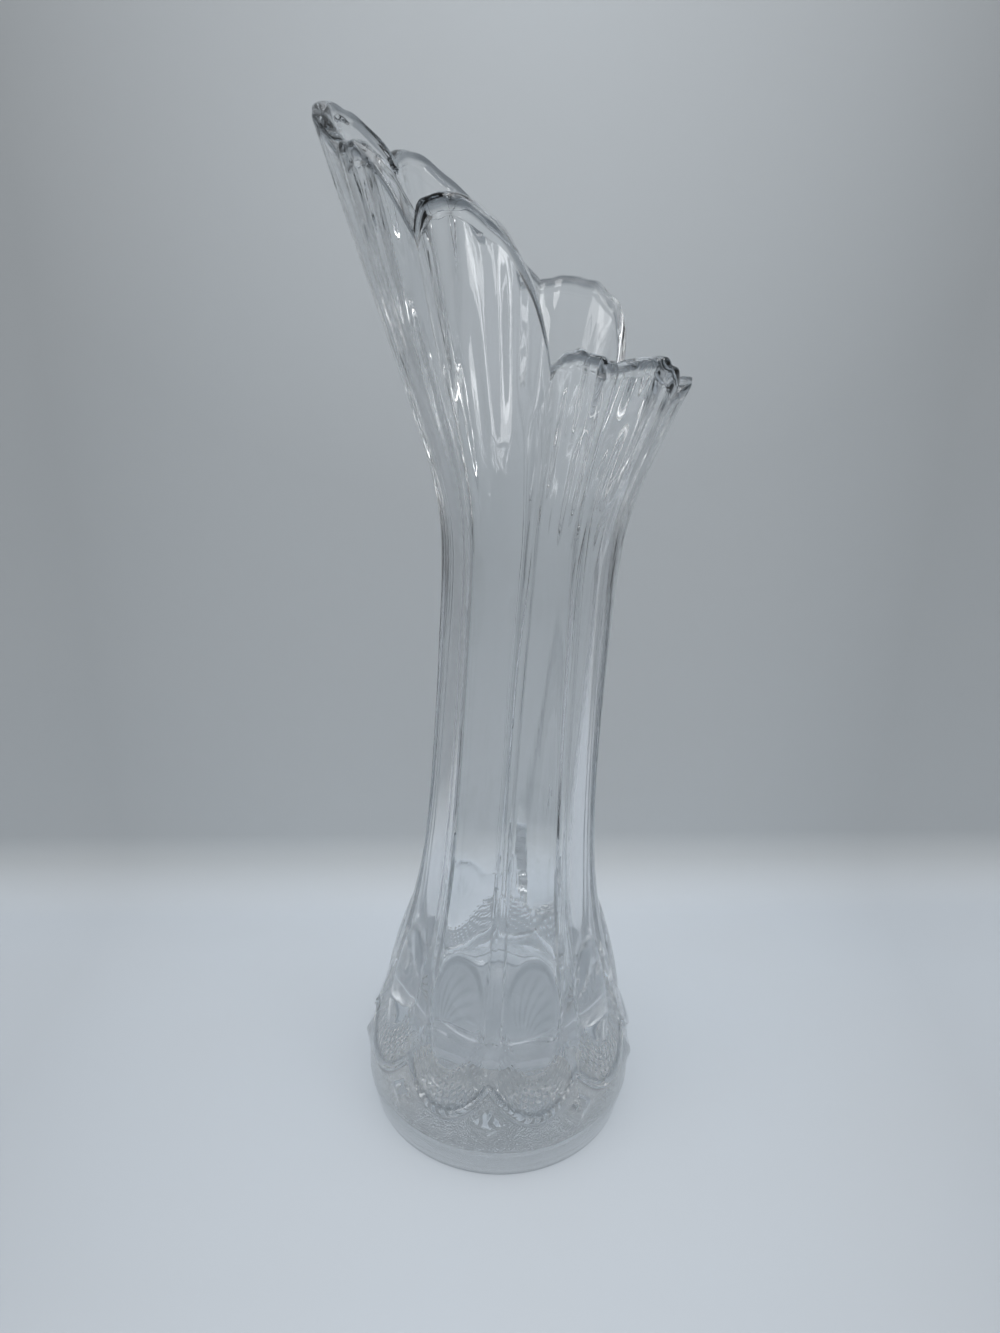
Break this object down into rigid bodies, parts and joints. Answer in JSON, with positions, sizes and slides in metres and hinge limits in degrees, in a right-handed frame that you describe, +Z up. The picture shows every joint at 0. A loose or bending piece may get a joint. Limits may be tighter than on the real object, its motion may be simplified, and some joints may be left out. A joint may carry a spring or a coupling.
{
  "type": "swung glass vase",
  "caption": "Tall clear pressed-glass vase with a waisted ribbed body on a round foot and a slanted, flared mouth that opens into rounded lobes",
  "frame": {"origin": "centre of the flat underside of the foot, on the table", "axes": "+Z up along the vase, front of the vase along -Y, high side of the slanted mouth towards -X"},
  "size_m": [0.1151, 0.1173, 0.3664],
  "materials": {
    "clear_glass": "gloss"
  },
  "bodies": {
    "root": {"glass_vase": "clear_glass"}
  },
  "joints": []
}
